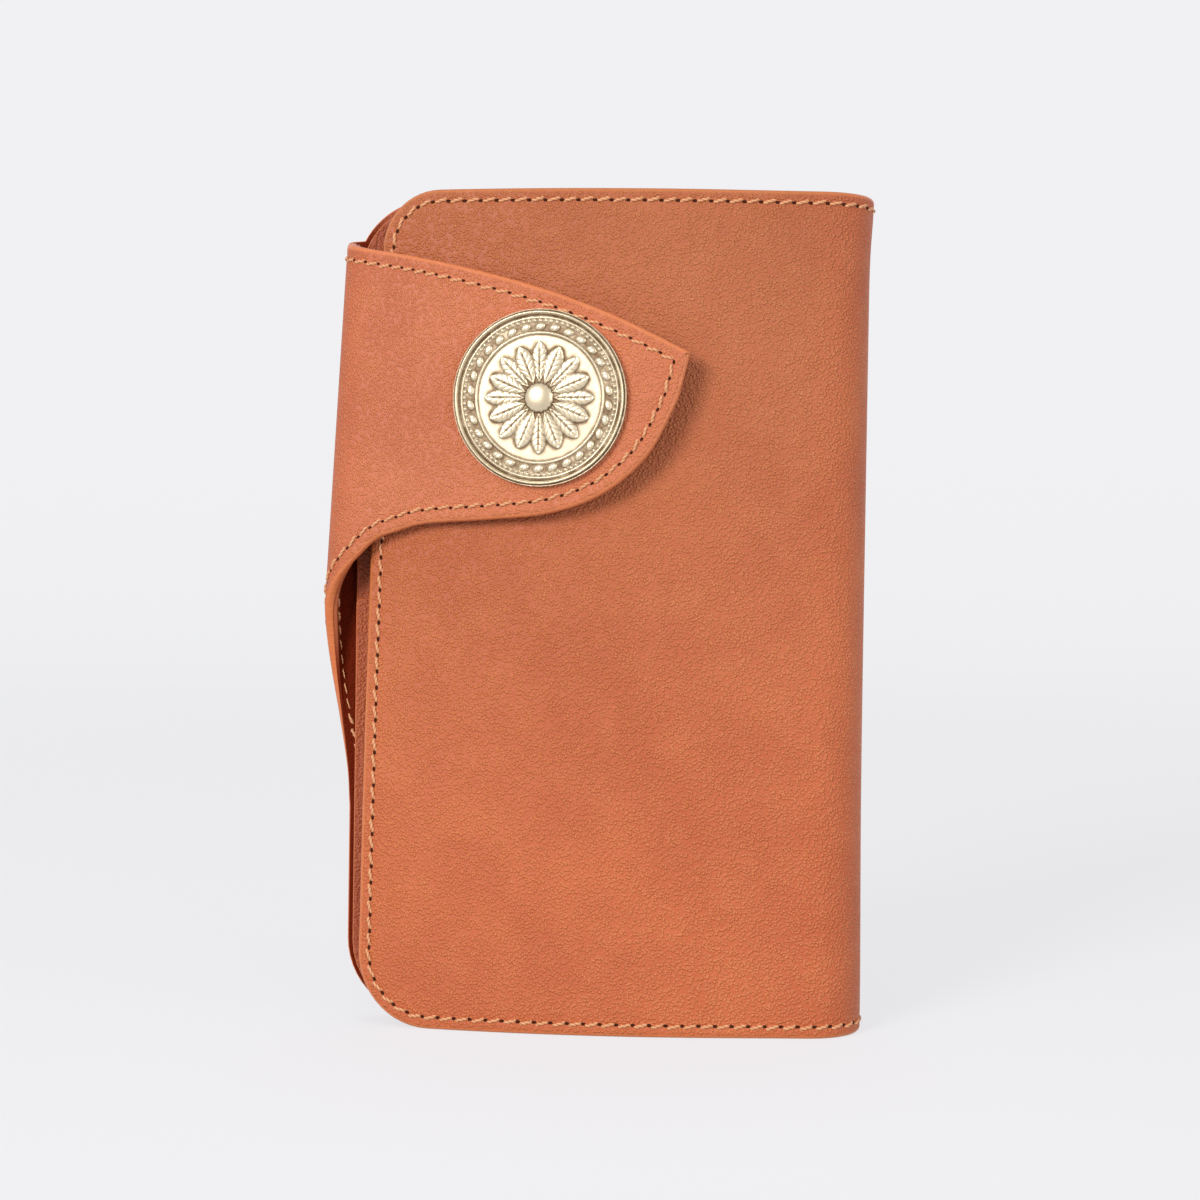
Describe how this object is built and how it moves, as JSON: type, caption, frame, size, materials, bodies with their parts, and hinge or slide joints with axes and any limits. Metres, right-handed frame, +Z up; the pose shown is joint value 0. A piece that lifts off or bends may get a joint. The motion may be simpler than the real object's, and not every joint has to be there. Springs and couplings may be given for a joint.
{
  "type": "long wallet",
  "caption": "Tall folding leather wallet with a rounded spine, a wrap-round snap flap with a metal disc, card slots and a zipped coin pocket.",
  "frame": {"origin": "middle of the box round the whole wallet, on its lower face", "axes": "+Z up along the spine, +X from the free edges to the spine, -Y out of the front cover"},
  "size_m": [0.1124, 0.0296, 0.17],
  "materials": {
    "outer_hide": "smooth veg-tanned, satin",
    "lining_leather": "fine grain, matte",
    "pocket_leather": "fine grain, satin",
    "waxed_thread": "waxed twist",
    "zip_tape": "woven",
    "zip_metal": "polished",
    "snap_metal": "satin",
    "concho_metal": "warm antique nickel"
  },
  "bodies": {
    "back": {"back_cover": "outer_hide", "back_lining": "lining_leather", "card_panel": "pocket_leather", "card_slot_1": "pocket_leather", "card_slot_2": "pocket_leather", "card_slot_3": "pocket_leather", "card_slot_4": "pocket_leather", "back_thread": "waxed_thread"},
    "spine": {"spine_leather": "outer_hide", "spine_lining": "lining_leather"},
    "front": {"front_cover": "outer_hide", "coin_pocket_panel": "pocket_leather", "zip_tape_left": "zip_tape", "zip_tape_right": "zip_tape", "zip_teeth_left": "zip_metal", "zip_teeth_right": "zip_metal", "zip_stop_low": "zip_metal", "zip_stop_high": "zip_metal", "zip_frame": "pocket_leather", "front_thread": "waxed_thread", "snap_stud": "snap_metal", "stud_cap": "snap_metal"},
    "strap": {"strap_leather": "outer_hide", "strap_lining": "lining_leather"},
    "flap": {"flap_leather": "outer_hide", "flap_lining": "lining_leather", "flap_thread": "waxed_thread", "snap_socket": "snap_metal", "concho_post": "concho_metal", "concho": "concho_metal"},
    "zip_slider": {"zip_slider": "zip_metal"},
    "zip_pull": {"zip_pull": "zip_metal"}
  },
  "joints": [
    {"name": "spine_fold", "type": "hinge", "parent": "back", "child": "spine", "pos_m": [0.05401, 0.01078, 0.085], "axis": [0, 0, 1], "range_deg": [0, 90], "deforming": ["spine_leather", "spine_lining"]},
    {"name": "cover_fold", "type": "hinge", "parent": "spine", "child": "front", "pos_m": [0.05401, -0.00321, 0.085], "axis": [0, 0, 1], "range_deg": [0, 90]},
    {"name": "strap_fold", "type": "hinge", "parent": "back", "child": "strap", "pos_m": [-0.05351, 0.01277, 0.11], "axis": [0, 0, -1], "range_deg": [0, 83.2], "deforming": ["strap_leather", "strap_lining"]},
    {"name": "flap_fold", "type": "hinge", "parent": "strap", "child": "flap", "pos_m": [-0.05457, 0.00392, 0.127], "axis": [0, 0, -1], "range_deg": [0, 83.2]},
    {"name": "zip_slide", "type": "slide", "parent": "front", "child": "zip_slider", "axis": [0, 0, 1], "range_m": [0, 0.12]},
    {"name": "pull_swing", "type": "hinge", "parent": "zip_slider", "child": "zip_pull", "pos_m": [0.03214, -0.00006, 0.0255], "axis": [1, 0, 0], "range_deg": [0, 30]}
  ],
  "couplings": [
    {"joint": "cover_fold", "follows": "spine_fold", "ratio": 1},
    {"joint": "flap_fold", "follows": "strap_fold", "ratio": 1}
  ]
}
